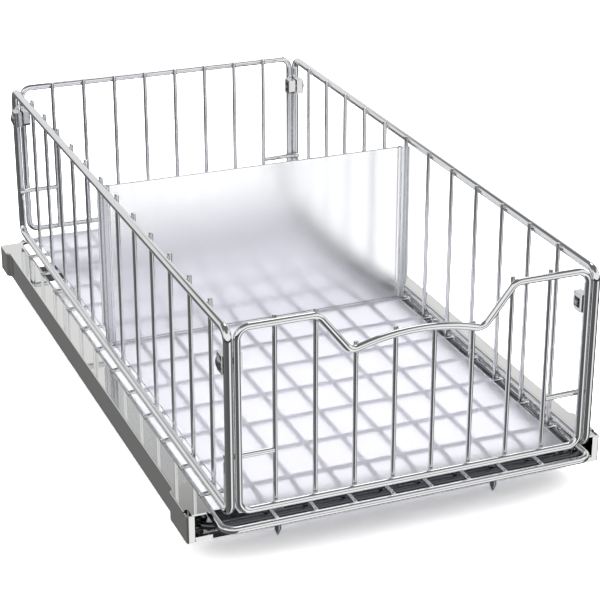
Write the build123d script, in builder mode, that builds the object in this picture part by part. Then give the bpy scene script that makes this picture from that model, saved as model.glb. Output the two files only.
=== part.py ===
"""Pull-out cabinet basket: chrome wire basket on telescopic ball slides. Millimetres, +Z up.

Origin: centre of the four shelf screws, in the underside of the cross plates.
The front of the basket faces -Y, and the basket pulls out along -Y.
"""

import os

from build123d import *

os.makedirs("parts", exist_ok=True)

# ---- driving dimensions -------------------------------------------------
# basket
width = 245.0           # front and back panels, between wire centres
depth = 531.6           # front panel to back panel, between wire centres
end_height = 128.0      # front and back panels, between rail centres
side_height = 127.7     # side panels, between rail centres
corner = 8.0            # bend radius of every rail, at the wire centre
thin_r = 1.6            # grid wires
end_r = 2.5             # rail of the front and back panels
side_r = 3.0            # rail of the side panels
tray_r = 2.5            # rail of the base tray
bar_r = 2.5             # tie bar between the slides
hook_r = 2.0            # hook bars of the front and back panels
weld = 0.35             # how far two welded wires melt into each other
panel_gap = 0.4         # between side panel and end panel wires
end_margin = 26.25      # corner wire to the first grid wire, front and back
side_margin = 43.6      # corner wire to the first grid wire, sides
end_count = 8
side_count = 12
tip = 3.2               # wire tips above the rail centre
dip = 28.7              # lowest point of the front rail, below its corners
crown = 7.7             # rise of the shallow arch in the middle of the dip
slant = 22.5            # width of the slanting run at each side of the dip
mat_t = 1.8
mat_play = 3.05         # side panel's wires to the mat's edge
sheet_d = 2.4           # divider sheet

# base frame
sheet = 1.2             # sheet of brackets and cross plates
bracket_play = 20.2     # side panel's rail centre to the bracket's outer face
bracket_height = 20.8
flange = 13.1           # upper flange, across
foot = 20.6             # lower flange, across
joggle = 3.1            # outward step at both ends of the wall
joggle_length = 20.0    # rear joggled part
set_back = 18.8         # front panel to the bracket's front plate
rear_back = 10.8        # back panel to the bracket's rear end
plate_width = 32.0      # cross plate, along Y
plate_back = 3.0        # cross plate behind the bracket's front plate
screw_in = 67.8         # shelf screw from the bracket's outer face
screw_r = 2.25          # over the thread
neck_r = 1.85           # plain neck in the plate's hole
screw_out = 19.0        # screw tip below the shelf's surface
rivet_r = 1.6

# slides
member = 1.0            # sheet of the outer member
thin_member = 0.9       # sheet of the middle and inner members
slide_half = 8.8        # half height of the outer member
slide_thick = 10.8      # outer member, across
slide_play = 0.1        # outer member over the lower flange
web_gap = 1.1           # outer member's web to the middle member's
member_step = 1.4       # each member's mouth, inward of the one outside it
outer_ball_r = 0.79
inner_ball_r = 0.89
ball_play = 0.02
balls_per_row = 5
cage_sheet = 0.5
cage_share = 0.494      # cage length over slide length
slide_start = 11.0      # outer member behind the bracket's front plate
slide_end = 5.0         # outer member before the bracket's rear end
hanger_t = 1.5
hanger_length = 30.0

# corner clamps
clamp_low = 22.7        # clamp centre below the lower of the two rails that meet there
clamp_half = 6.3
clamp_in = 11.0         # clamp reaches this far inward of the wire centre, along Y
clamp_screw = 5.5       # screw axis inward of the wire centre, along Y
clamp_screw_r = 2.0

# ---- values that follow -------------------------------------------------
end_y = depth / 2
side_x = width / 2 + end_r + side_r + panel_gap
wire_y = end_y - end_r - thin_r + weld
wire_x = side_x - side_r - thin_r + weld
end_pitch = (width - 2 * end_margin) / (end_count - 1)
side_pitch = (depth - 2 * side_margin) / (side_count - 1)
end_wires = [end_pitch * (i - (end_count - 1) / 2) for i in range(end_count)]
side_wires = [side_pitch * (i - (side_count - 1) / 2) for i in range(side_count)]

bracket_x = side_x + bracket_play
lower = sheet                                # underside of the brackets, on the cross plates
bracket_top = lower + bracket_height
flange_x = bracket_x - flange
foot_x = bracket_x - foot
wall_in = bracket_x - sheet
bracket_front = end_y - set_back
bracket_rear = end_y - rear_back
plate_out = bracket_front - plate_back
plate_in = plate_out - plate_width
plate_mid = (plate_in + plate_out) / 2
screw_x = bracket_x - screw_in
screw_y = plate_mid - 2
rivet_x = foot_x + 3.5
rivet_y = (plate_in + 8, plate_out - 8)

slide_z = lower + sheet + slide_play + slide_half
mouth = wall_in - slide_thick                # outer member's lips
mid_mouth = mouth + member_step
mid_web = wall_in - member - web_gap         # outer face of the middle member's web
inner_face = mouth - 1.2                     # inner member, face on the basket's side
inner_edge = mid_web - thin_member - 1.2     # inner member's flanges end here
slide_front = bracket_front - slide_start
slide_rear = bracket_rear - slide_end
race_out = slide_half - member               # inner surface of the outer member's flanges
mid_half = race_out - 2 * outer_ball_r - ball_play
mid_race = mid_half - thin_member
inner_half = mid_race - 2 * inner_ball_r - ball_play
cage_length = cage_share * (slide_front + slide_rear)
cage_mid = (slide_rear - slide_front) / 2 + 3
ball_pitch = cage_length / (balls_per_row - 0.64)

tray_z = bracket_top - 4.8
tray_x = side_x - 1.4
tray_y = end_y + 1.7
cross_z = tray_z + tray_r + thin_r - weld
long_z = tray_z + tray_r - thin_r
mat_z = cross_z + thin_r
side_low = mat_z + 5.65
side_high = side_low + side_height
end_low = side_low + 1.0
end_high = end_low + end_height
valley_x = end_wires[5] + 5.25
knee_x = valley_x + slant
valley_z = end_high - dip
crown_z = valley_z + crown
clamp_z = min(end_high, side_high) - clamp_low
divider_top = side_high - side_r - 0.5
# rail height at the front panel's wires, from the corners to the middle
front_tips = (end_high, end_high - 0.6, crown_z - 6.4, crown_z - 0.7)


def dome(radius, rise):
    """Height above the rim, half way out, of a spherical screw head of this radius and rise."""
    ball = (radius**2 + rise**2) / (2 * rise)
    return (ball**2 - (radius / 2) ** 2) ** 0.5 - ball + rise


# ---- base frame ---------------------------------------------------------
flange_front = bracket_front - 8             # the upper flange ends before the front bend
wall_path = [
    (bracket_x + joggle, bracket_rear),
    (bracket_x + joggle, bracket_rear - joggle_length),
    (bracket_x, bracket_rear - joggle_length - joggle),
    (bracket_x, -(plate_in - joggle)),
    (bracket_x + joggle, -plate_in),
    (bracket_x + joggle, -bracket_front),
    (flange_x - 1.5, -bracket_front),
]

with BuildPart() as right_bracket:
    with BuildSketch(Plane.XY.offset(lower)):
        with BuildLine() as wall:
            Polyline(*wall_path)
            fillet(wall.vertices().filter_by_position(Axis.Y, -plate_in - 1, bracket_rear - 1), radius=3)
            fillet(wall.vertices().group_by(Axis.Y)[0].sort_by(Axis.X)[-1], radius=6)
            offset(amount=sheet, side=Side.RIGHT)
        make_face()
    extrude(amount=bracket_top - lower)
    with BuildSketch(Plane.XY.offset(bracket_top - sheet)) as upper_flange:
        with BuildLine():
            Polyline(
                (flange_x, bracket_rear),
                *wall_path[:5],
                (bracket_x + joggle, -flange_front),
                (flange_x, -flange_front),
                close=True,
            )
        make_face()
        joggles = upper_flange.vertices().filter_by_position(Axis.Y, -plate_in - 1, bracket_rear - 1)
        fillet(joggles.filter_by_position(Axis.X, bracket_x - 1, bracket_x + 9), radius=3)
    extrude(amount=sheet)
    with BuildSketch(Plane.XY.offset(lower)) as lower_flange:
        with BuildLine():
            Polyline(
                (foot_x, bracket_rear),
                *wall_path[:5],
                (bracket_x + joggle, -flange_front - 1),
                (foot_x, -flange_front - 1),
                close=True,
            )
        make_face()
        joggles = lower_flange.vertices().filter_by_position(Axis.Y, -plate_in - 1, bracket_rear - 1)
        fillet(joggles.filter_by_position(Axis.X, bracket_x - 1, bracket_x + 9), radius=3)
    extrude(amount=sheet)
    outer_top = right_bracket.faces().sort_by(Axis.Z)[-1].edges()
    outer_top = outer_top.filter_by_position(Axis.X, bracket_x - 1, bracket_x + 9)
    outer_top = outer_top.filter_by_position(Axis.Y, 1 - flange_front, bracket_rear - 1)
    fillet(outer_top, radius=0.8)
    # opening in the front plate that the slide members pass through
    with BuildSketch(Plane.XY.offset(slide_z - mid_half - 0.2)):
        with Locations((wall_in - 1.2 - 8.1, -bracket_front)):
            Rectangle(2 * 8.1, 4)
    extrude(amount=bracket_height, mode=Mode.SUBTRACT)
    # the front bend is lower than the flange
    with BuildSketch(Plane.XY.offset(bracket_top - 3.8)):
        with Locations((bracket_x - 6.6, -bracket_front)):
            Rectangle(24, 2 * (bracket_front - flange_front - 1))
    extrude(amount=bracket_height, mode=Mode.SUBTRACT)
    with BuildSketch(Plane.XY):
        with Locations(*[(rivet_x, s * y) for s in (-1, 1) for y in rivet_y]):
            Circle(rivet_r + 0.05)
    extrude(amount=4, mode=Mode.SUBTRACT)
right_bracket.part.label = "right_bracket"

with BuildPart() as left_bracket:
    mirror(right_bracket.part, about=Plane.YZ)
left_bracket.part.label = "left_bracket"

with BuildPart() as front_cross_plate:
    with BuildSketch() as plate_plan:
        with Locations((0, -plate_mid)):
            RectangleRounded(2 * wall_in, plate_out - plate_in, 3)
        with Locations((-screw_x, -screw_y), (screw_x, -screw_y)):
            Circle(screw_r + 0.15, mode=Mode.SUBTRACT)
        with Locations(*[(s * rivet_x, -y) for s in (-1, 1) for y in rivet_y]):
            Circle(rivet_r + 0.05, mode=Mode.SUBTRACT)
    extrude(amount=sheet)
front_cross_plate.part.label = "front_cross_plate"

with BuildPart() as rear_cross_plate:
    mirror(front_cross_plate.part, about=Plane.XZ)
rear_cross_plate.part.label = "rear_cross_plate"

with BuildPart() as rivet:
    with BuildSketch(Plane.XZ):
        with BuildLine():
            l1 = Polyline(
                (0, 0), (rivet_r, 0), (rivet_r, 2 * sheet), (3.0, 2 * sheet), (3.0, 2 * sheet + 0.3)
            )
            l2 = ThreePointArc(l1 @ 1, (1.5, 2 * sheet + 0.3 + dome(3.0, 0.7)), (0, 2 * sheet + 1.0))
            Line(l2 @ 1, l1 @ 0)
        make_face()
    revolve(axis=Axis.Z)

with BuildPart() as frame_rivets:
    with Locations(*[(x, s * y, 0) for x in (-rivet_x, rivet_x) for s in (-1, 1) for y in rivet_y]):
        add(rivet.part)
frame_rivets.part.label = "frame_rivets"

with BuildPart() as shelf_screw:
    with BuildSketch(Plane.XZ):
        with BuildLine():
            l1 = Polyline(
                (0, -screw_out), (0.4, -screw_out), (screw_r, 4.5 - screw_out),
                (screw_r, 0), (neck_r, 0), (neck_r, sheet), (4.2, sheet), (4.2, sheet + 0.7),
            )
            l2 = ThreePointArc(l1 @ 1, (2.1, sheet + 0.7 + dome(4.2, 1.8)), (0, sheet + 2.5))
            Line(l2 @ 1, l1 @ 0)
        make_face()
    revolve(axis=Axis.Z)
    with BuildSketch(Plane.XY.offset(sheet + 1.0)):
        Rectangle(4.4, 0.9)
        Rectangle(0.9, 4.4)
    extrude(amount=3, mode=Mode.SUBTRACT)

with BuildPart() as shelf_screws:
    with Locations(*[(x, y, 0) for x in (-screw_x, screw_x) for y in (-screw_y, screw_y)]):
        add(shelf_screw.part)
shelf_screws.part.label = "shelf_screws"

# ---- telescopic slides --------------------------------------------------
with BuildPart() as right_outer_slide:
    with BuildSketch(Plane.XZ.offset(slide_front)):
        with Locations((0, slide_z)):
            with Locations(((wall_in + mouth) / 2, 0)):
                Rectangle(slide_thick, 2 * slide_half)
            with Locations(((mouth + wall_in) / 2, 0)):
                Rectangle(slide_thick - 2 * member, 2 * race_out, mode=Mode.SUBTRACT)
            with Locations((mouth, 0)):
                Rectangle(3 * member, 2 * (race_out - 0.8), mode=Mode.SUBTRACT)
    extrude(amount=-(slide_front + slide_rear))
right_outer_slide.part.label = "right_outer_slide"

with BuildPart() as right_middle_slide:
    with BuildSketch(Plane.XZ.offset(slide_front - 8)):
        with Locations((0, slide_z)):
            with Locations(((mid_web + mid_mouth) / 2, 0)):
                Rectangle(mid_web - mid_mouth, 2 * mid_half)
                Rectangle(mid_web - mid_mouth - 2 * thin_member, 2 * mid_race, mode=Mode.SUBTRACT)
            with Locations((mid_mouth, 0)):
                Rectangle(3 * thin_member, 2 * (mid_race - 0.7), mode=Mode.SUBTRACT)
    extrude(amount=-(slide_front - 8 + slide_rear - 2))
right_middle_slide.part.label = "right_middle_slide"

hanger_y = (46 - slide_front, 0.0, slide_front - 46)
hanger_screw_y = [y + dy for y in hanger_y for dy in (-9, 9)]
hanger_screw_z = slide_z - 1.0

with BuildPart() as right_inner_slide:
    with BuildSketch(Plane.XZ.offset(slide_front + 5)):
        with Locations((0, slide_z)):
            with Locations(((inner_face + inner_edge) / 2, 0)):
                Rectangle(inner_edge - inner_face, 2 * inner_half)
            with Locations((inner_face + thin_member + 10, 0)):
                Rectangle(20, 2 * (inner_half - thin_member), mode=Mode.SUBTRACT)
    extrude(amount=-(slide_front + 5 + slide_rear - 4))
    with BuildSketch(Plane.YZ.offset(inner_face - 1)):
        with Locations(*[(y, hanger_screw_z) for y in hanger_screw_y]):
            Circle(1.55)
    extrude(amount=3, mode=Mode.SUBTRACT)
right_inner_slide.part.label = "right_inner_slide"

row_y = [cage_mid + ball_pitch * (i - (balls_per_row - 1) / 2) for i in range(balls_per_row)]
outer_row_z = (race_out + mid_half) / 2
inner_row_z = (mid_race + inner_half) / 2
outer_row_x = (mid_mouth + mid_web) / 2 - 0.2
inner_row_x = inner_edge - 2.0
outer_cage_x = (outer_row_x - 2.1, mid_web + 0.8)
inner_cage_x = (inner_row_x - 1.8, inner_edge + 0.85)

with BuildPart() as right_outer_balls:
    with Locations(*[(outer_row_x, y, slide_z + s * outer_row_z) for y in row_y for s in (-1, 1)]):
        Sphere(outer_ball_r)
right_outer_balls.part.label = "right_outer_balls"

with BuildPart() as right_inner_balls:
    with Locations(*[(inner_row_x, y, slide_z + s * inner_row_z) for y in row_y for s in (-1, 1)]):
        Sphere(inner_ball_r)
right_inner_balls.part.label = "right_inner_balls"

with BuildPart() as right_outer_cage:
    with BuildSketch(Plane.XZ.offset(-cage_mid + cage_length / 2)):
        with Locations((0, slide_z)):
            with Locations((sum(outer_cage_x) / 2, 0)):
                Rectangle(outer_cage_x[1] - outer_cage_x[0], 2 * outer_row_z + cage_sheet)
            with Locations((outer_cage_x[0] - cage_sheet, 0)):
                Rectangle(
                    2 * (outer_cage_x[1] - outer_cage_x[0]), 2 * outer_row_z - cage_sheet,
                    mode=Mode.SUBTRACT,
                )
    extrude(amount=-cage_length)
    with BuildSketch(Plane.XY):
        with Locations(*[(outer_row_x, y) for y in row_y]):
            Circle(outer_ball_r + 0.06)
    extrude(amount=30, mode=Mode.SUBTRACT)
right_outer_cage.part.label = "right_outer_cage"

with BuildPart() as right_inner_cage:
    with BuildSketch(Plane.XZ.offset(-cage_mid + cage_length / 2)):
        with Locations((0, slide_z)):
            with Locations((sum(inner_cage_x) / 2, 0)):
                Rectangle(inner_cage_x[1] - inner_cage_x[0], 2 * inner_row_z + cage_sheet)
            with Locations((inner_cage_x[0] - cage_sheet, 0)):
                Rectangle(
                    2 * (inner_cage_x[1] - inner_cage_x[0]), 2 * inner_row_z - cage_sheet,
                    mode=Mode.SUBTRACT,
                )
    extrude(amount=-cage_length)
    with BuildSketch(Plane.XY):
        with Locations(*[(inner_row_x, y) for y in row_y]):
            Circle(inner_ball_r + 0.06)
    extrude(amount=30, mode=Mode.SUBTRACT)
right_inner_cage.part.label = "right_inner_cage"

with BuildPart() as left_outer_slide:
    mirror(right_outer_slide.part, about=Plane.YZ)
left_outer_slide.part.label = "left_outer_slide"

with BuildPart() as left_middle_slide:
    mirror(right_middle_slide.part, about=Plane.YZ)
left_middle_slide.part.label = "left_middle_slide"

with BuildPart() as left_inner_slide:
    mirror(right_inner_slide.part, about=Plane.YZ)
left_inner_slide.part.label = "left_inner_slide"

with BuildPart() as left_outer_balls:
    mirror(right_outer_balls.part, about=Plane.YZ)
left_outer_balls.part.label = "left_outer_balls"

with BuildPart() as left_inner_balls:
    mirror(right_inner_balls.part, about=Plane.YZ)
left_inner_balls.part.label = "left_inner_balls"

with BuildPart() as left_outer_cage:
    mirror(right_outer_cage.part, about=Plane.YZ)
left_outer_cage.part.label = "left_outer_cage"

with BuildPart() as left_inner_cage:
    mirror(right_inner_cage.part, about=Plane.YZ)
left_inner_cage.part.label = "left_inner_cage"

bar_x = inner_edge - 0.2
bar_y = slide_front + 12

with BuildPart() as tie_bar:
    with BuildLine(Plane.XY.offset(slide_z)) as bar_path:
        Polyline(
            (bar_x, 7 - slide_front), (bar_x, -bar_y), (-bar_x, -bar_y), (-bar_x, 7 - slide_front)
        )
        fillet(bar_path.vertices().group_by(Axis.Y)[0], radius=12)
    with BuildSketch(Plane(origin=bar_path.line @ 0, z_dir=bar_path.line % 0)):
        Circle(bar_r)
    sweep(path=bar_path.line)
tie_bar.part.label = "tie_bar"

# ---- base tray ----------------------------------------------------------
hanger_top = tray_z - tray_r + 0.15
hanger_in = tray_x - 4

with BuildPart() as base_tray:
    with BuildLine(Plane.XY.offset(tray_z)) as tray_rail:
        Polyline(
            (-tray_x, -tray_y), (tray_x, -tray_y), (tray_x, tray_y), (-tray_x, tray_y), close=True
        )
        fillet(tray_rail.vertices(), radius=9)
    with BuildSketch(Plane(origin=tray_rail.line @ 0, z_dir=tray_rail.line % 0)):
        Circle(tray_r)
    sweep(path=tray_rail.line)
    with BuildSketch(Plane.XZ.offset(tray_y - 1.5)):
        with Locations(*[(x, long_z) for x in end_wires]):
            Circle(thin_r)
    extrude(amount=-2 * (tray_y - 1.5))
    with BuildSketch(Plane.YZ.offset(-(tray_x + 2))):
        with Locations(*[(y, cross_z) for y in side_wires]):
            Circle(thin_r)
    extrude(amount=2 * (tray_x + 2))
    # hangers under the side rails, screwed to the inner slide members
    for y in hanger_y:
        with BuildSketch(Plane.XZ.offset(-y + hanger_length / 2)):
            with Locations((inner_face - hanger_t / 2, (hanger_top + slide_z - 4) / 2)):
                Rectangle(hanger_t, hanger_top - slide_z + 4)
            with Locations(((inner_face + hanger_in) / 2, hanger_top - hanger_t / 2)):
                Rectangle(inner_face - hanger_in, hanger_t)
        extrude(amount=-hanger_length)
    with BuildSketch(Plane.YZ.offset(inner_face - 3)):
        with Locations(*[(y, hanger_screw_z) for y in hanger_screw_y]):
            Circle(1.6)
    extrude(amount=4, mode=Mode.SUBTRACT)
    for y in hanger_y:
        with BuildSketch(Plane.XZ.offset(-y + hanger_length / 2)):
            with Locations((-(inner_face - hanger_t / 2), (hanger_top + slide_z - 4) / 2)):
                Rectangle(hanger_t, hanger_top - slide_z + 4)
            with Locations((-(inner_face + hanger_in) / 2, hanger_top - hanger_t / 2)):
                Rectangle(inner_face - hanger_in, hanger_t)
        extrude(amount=-hanger_length)
    with BuildSketch(Plane.YZ.offset(-inner_face - 1)):
        with Locations(*[(y, hanger_screw_z) for y in hanger_screw_y]):
            Circle(1.6)
    extrude(amount=4, mode=Mode.SUBTRACT)
base_tray.part.label = "base_tray"

with BuildPart() as hanger_screw:
    with BuildSketch(Plane.XY):
        with BuildLine():
            face = inner_face - hanger_t
            tail = inner_face + 2.8
            l1 = Polyline((tail, 0), (tail, 1.5), (face, 1.5), (face, 2.9), (face - 0.8, 2.9))
            l2 = ThreePointArc(l1 @ 1, (face - 0.8 - dome(2.9, 1.2), 1.45), (face - 2.0, 0))
            Line(l2 @ 1, l1 @ 0)
        make_face()
    revolve(axis=Axis.X)

with BuildPart() as hanger_screws:
    with Locations(*[(0, y, hanger_screw_z) for y in hanger_screw_y]):
        add(hanger_screw.part)
    mirror(about=Plane.YZ)
hanger_screws.part.label = "hanger_screws"

with BuildPart() as floor_mat:
    with BuildSketch(Plane.XY.offset(mat_z)):
        RectangleRounded(2 * (wire_x - thin_r - mat_play), 2 * (wire_y - thin_r - 0.5), 4)
    extrude(amount=mat_t)
floor_mat.part.label = "floor_mat"

# ---- side panels --------------------------------------------------------
hook_z = end_low + 37.5
strip_top = hook_z - hook_r - 0.5

with BuildPart() as right_side_panel:
    with BuildLine(Plane.YZ.offset(side_x)) as side_rail:
        Polyline(
            (-end_y, side_low), (end_y, side_low), (end_y, side_high), (-end_y, side_high), close=True
        )
        fillet(side_rail.vertices(), radius=corner)
    with BuildSketch(Plane(origin=side_rail.line @ 0, z_dir=side_rail.line % 0)):
        Circle(side_r)
    sweep(path=side_rail.line)
    with BuildSketch(Plane.XY.offset(mat_z)):
        with Locations(*[(wire_x, y) for y in side_wires]):
            Circle(thin_r)
    extrude(amount=side_high + side_r + 1.0 - mat_z)
    # stiffening strips in the lower corners
    with BuildSketch(Plane.YZ.offset(side_x - 0.8)):
        with BuildLine():
            Polyline(
                (-end_y + side_r - 0.4, side_low),
                (-end_y + side_r - 0.4, strip_top),
                (-end_y + side_r + 4.6, strip_top),
                (-end_y + side_r + 7.0, strip_top - 3.8),
                (-end_y + side_r + 7.0, side_low),
                close=True,
            )
        make_face()
        mirror(about=Plane.YZ)
    extrude(amount=1.6)
right_side_panel.part.label = "right_side_panel"

with BuildPart() as left_side_panel:
    mirror(right_side_panel.part, about=Plane.YZ)
left_side_panel.part.label = "left_side_panel"

# ---- front and back panels ----------------------------------------------
hook_wall = end_y - end_r - hook_r + weld          # bar welded to the panel's upright
hook_back = end_y - side_r - hook_r - 0.25         # bar behind the side panel's upright
hook_bend = 12.0
hook_angle = 17.5                                  # each half of the S bend
hook_start = end_wires[-1] + 1.0

with BuildPart() as hook:
    with BuildLine(Plane.XY.offset(hook_z)) as hook_path:
        l1 = Line((hook_start, -hook_wall), (width / 2 - 3, -hook_wall))
        l2 = JernArc(start=l1 @ 1, tangent=l1 % 1, radius=hook_bend, arc_size=hook_angle)
        l3 = JernArc(start=l2 @ 1, tangent=l2 % 1, radius=hook_bend, arc_size=-hook_angle)
        Line(l3 @ 1, (side_x + 1.6, (l3 @ 1).Y))
    with BuildSketch(Plane(origin=hook_path.line @ 0, z_dir=hook_path.line % 0)):
        Circle(hook_r)
    sweep(path=hook_path.line)

with BuildPart() as front_panel:
    with BuildLine(Plane.XZ.offset(end_y)) as front_rail:
        l1 = Polyline(
            (-valley_x, valley_z),
            (-knee_x, end_high),
            (-width / 2, end_high),
            (-width / 2, end_low),
            (width / 2, end_low),
            (width / 2, end_high),
            (knee_x, end_high),
            (valley_x, valley_z),
        )
        ThreePointArc(l1 @ 1, (0, crown_z), l1 @ 0)
        fillet(front_rail.vertices(), radius=corner)
    with BuildSketch(Plane(origin=front_rail.line @ 0, z_dir=front_rail.line % 0)):
        Circle(end_r)
    sweep(path=front_rail.line)
    for x, top in zip(end_wires, front_tips):
        with BuildSketch(Plane.XY.offset(end_low)):
            with Locations((x, -wire_y), (-x, -wire_y)):
                Circle(thin_r)
        extrude(amount=top + tip - end_low)
    add(hook.part)
    mirror(hook.part, about=Plane.YZ)
front_panel.part.label = "front_panel"

with BuildPart() as back_panel:
    with BuildLine(Plane.XZ.offset(-end_y)) as back_rail:
        Polyline(
            (-width / 2, end_low), (width / 2, end_low), (width / 2, end_high), (-width / 2, end_high),
            close=True,
        )
        fillet(back_rail.vertices(), radius=corner)
    with BuildSketch(Plane(origin=back_rail.line @ 0, z_dir=back_rail.line % 0)):
        Circle(end_r)
    sweep(path=back_rail.line)
    with BuildSketch(Plane.XY.offset(end_low)):
        with Locations(*[(x, wire_y) for x in end_wires]):
            Circle(thin_r)
    extrude(amount=end_high + tip - end_low)
    with BuildPart(mode=Mode.PRIVATE) as back_hook:
        mirror(hook.part, about=Plane.XZ)
    add(back_hook.part)
    mirror(back_hook.part, about=Plane.YZ)
back_panel.part.label = "back_panel"

# ---- divider ------------------------------------------------------------
divider_y = side_wires[6]
slot_half = thin_r + 0.25       # slot round the side panel's wire
grip_half = 2.8
grip_in = wire_x - thin_r - 4.05
grip_out = wire_x + thin_r + 1.55
grip_low = wire_x - 0.15
sheet_low = mat_z + mat_t

with BuildPart() as divider:
    with BuildSketch(Plane.XY.offset(sheet_low)):
        with Locations((0, divider_y)):
            Rectangle(2 * grip_in + 0.2, sheet_d)
            Rectangle(2 * grip_out, 2 * grip_half)
            Rectangle(2 * grip_in, 2 * grip_half, mode=Mode.SUBTRACT)
            Rectangle(2 * grip_in, sheet_d)
        with Locations((wire_x, divider_y), (-wire_x, divider_y)):
            Rectangle(2 * (wire_x - grip_in - 1.6), 2 * slot_half, mode=Mode.SUBTRACT)
    extrude(amount=divider_top - sheet_low)
    # lower outer corners clear the side panel's bottom rail
    with BuildSketch(Plane.XZ.offset(-divider_y + 10)):
        with BuildLine():
            Polyline(
                (grip_low, sheet_low - 1), (grip_low, side_low + 4), (grip_out, side_low + 14),
                (grip_out + 5, side_low + 14), (grip_out + 5, sheet_low - 1), close=True,
            )
        make_face()
        mirror(about=Plane.YZ)
    extrude(amount=-20, mode=Mode.SUBTRACT)
divider.part.label = "divider"

# ---- corner clamps ------------------------------------------------------
outer_face = side_x + side_r + 0.8      # outer half, flat outer face
outer_split = side_x - 2.4
inner_split = width / 2 + 1.9
inner_side = width / 2 - 4.1            # inner half, face inside the basket
clamp_end = end_y - clamp_in
screw_at = end_y - clamp_screw
nut_d = 2.2

with BuildPart() as front_right_clamp_outer:
    with BuildSketch(Plane.XY.offset(clamp_z - clamp_half)) as outer_plan:
        with Locations(((outer_face + outer_split) / 2, -(end_y + 3.6 + clamp_end) / 2)):
            Rectangle(outer_face - outer_split, end_y + 3.6 - clamp_end)
        fillet(outer_plan.vertices().group_by(Axis.Y)[0].sort_by(Axis.X)[-1], radius=3.6)
        fillet(outer_plan.vertices().group_by(Axis.Y)[-1].sort_by(Axis.X)[-1], radius=1.2)
        with Locations((side_x, -end_y)):
            Circle(side_r + 0.05, mode=Mode.SUBTRACT)
    extrude(amount=2 * clamp_half)
    with BuildSketch(Plane.YZ.offset(outer_split - 1)):
        with Locations((-screw_at, clamp_z)):
            Circle(clamp_screw_r + 0.05)
    extrude(amount=10, mode=Mode.SUBTRACT)
front_right_clamp_outer.part.label = "front_right_clamp_outer"

with BuildPart() as front_right_clamp_inner:
    with BuildSketch(Plane.XY.offset(clamp_z - clamp_half)) as inner_plan:
        with Locations(((inner_split + inner_side) / 2, -(end_y + 3.1 + clamp_end) / 2)):
            Rectangle(inner_split - inner_side, end_y + 3.1 - clamp_end)
        fillet(inner_plan.vertices().group_by(Axis.Y)[0].sort_by(Axis.X)[0], radius=3.1)
        with Locations((width / 2, -end_y)):
            Circle(end_r + 0.05, mode=Mode.SUBTRACT)
    extrude(amount=2 * clamp_half)
    low_edges = front_right_clamp_inner.edges().filter_by(Axis.X).group_by(Axis.Z)[0]
    chamfer(low_edges.sort_by(Axis.Y)[-1], length=2.5)
    with BuildSketch(Plane.YZ.offset(inner_side)):
        with Locations((-screw_at, clamp_z)):
            Rectangle(7.0, 7.0)
    extrude(amount=nut_d, mode=Mode.SUBTRACT)
    with BuildSketch(Plane.YZ.offset(inner_side)):
        with Locations((-screw_at, clamp_z)):
            Circle(clamp_screw_r + 0.05)
    extrude(amount=10, mode=Mode.SUBTRACT)
front_right_clamp_inner.part.label = "front_right_clamp_inner"

with BuildPart() as front_left_clamp_outer:
    mirror(front_right_clamp_outer.part, about=Plane.YZ)
front_left_clamp_outer.part.label = "front_left_clamp_outer"

with BuildPart() as front_left_clamp_inner:
    mirror(front_right_clamp_inner.part, about=Plane.YZ)
front_left_clamp_inner.part.label = "front_left_clamp_inner"

with BuildPart() as rear_right_clamp_outer:
    mirror(front_right_clamp_outer.part, about=Plane.XZ)
rear_right_clamp_outer.part.label = "rear_right_clamp_outer"

with BuildPart() as rear_right_clamp_inner:
    mirror(front_right_clamp_inner.part, about=Plane.XZ)
rear_right_clamp_inner.part.label = "rear_right_clamp_inner"

with BuildPart() as rear_left_clamp_outer:
    mirror(front_left_clamp_outer.part, about=Plane.XZ)
rear_left_clamp_outer.part.label = "rear_left_clamp_outer"

with BuildPart() as rear_left_clamp_inner:
    mirror(front_left_clamp_inner.part, about=Plane.XZ)
rear_left_clamp_inner.part.label = "rear_left_clamp_inner"

with BuildPart() as clamp_screw_one:
    with BuildSketch(Plane.XY):
        with BuildLine():
            l1 = Polyline(
                (inner_side - 1.1, 0), (inner_side - 1.1, 1.4), (inner_side - 0.5, clamp_screw_r),
                (outer_face, clamp_screw_r), (outer_face, 4.7), (outer_face + 0.5, 4.7),
            )
            l2 = ThreePointArc(l1 @ 1, (outer_face + 0.5 + dome(4.7, 1.7), 2.35), (outer_face + 2.2, 0))
            Line(l2 @ 1, l1 @ 0)
        make_face()
    revolve(axis=Axis.X)
    with BuildSketch(Plane.YZ.offset(outer_face + 0.9)):
        Rectangle(4.6, 0.9)
        Rectangle(0.9, 4.6)
    extrude(amount=3, mode=Mode.SUBTRACT)

with BuildPart() as clamp_screws:
    with Locations((0, -screw_at, clamp_z), (0, screw_at, clamp_z)):
        add(clamp_screw_one.part)
    mirror(about=Plane.YZ)
clamp_screws.part.label = "clamp_screws"

with BuildPart() as clamp_nuts:
    with BuildSketch(Plane.YZ.offset(inner_side)):
        with Locations((-screw_at, clamp_z), (screw_at, clamp_z)):
            Rectangle(6.8, 6.8)
            Circle(clamp_screw_r + 0.03, mode=Mode.SUBTRACT)
    extrude(amount=nut_d)
    mirror(about=Plane.YZ)
clamp_nuts.part.label = "clamp_nuts"

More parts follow.
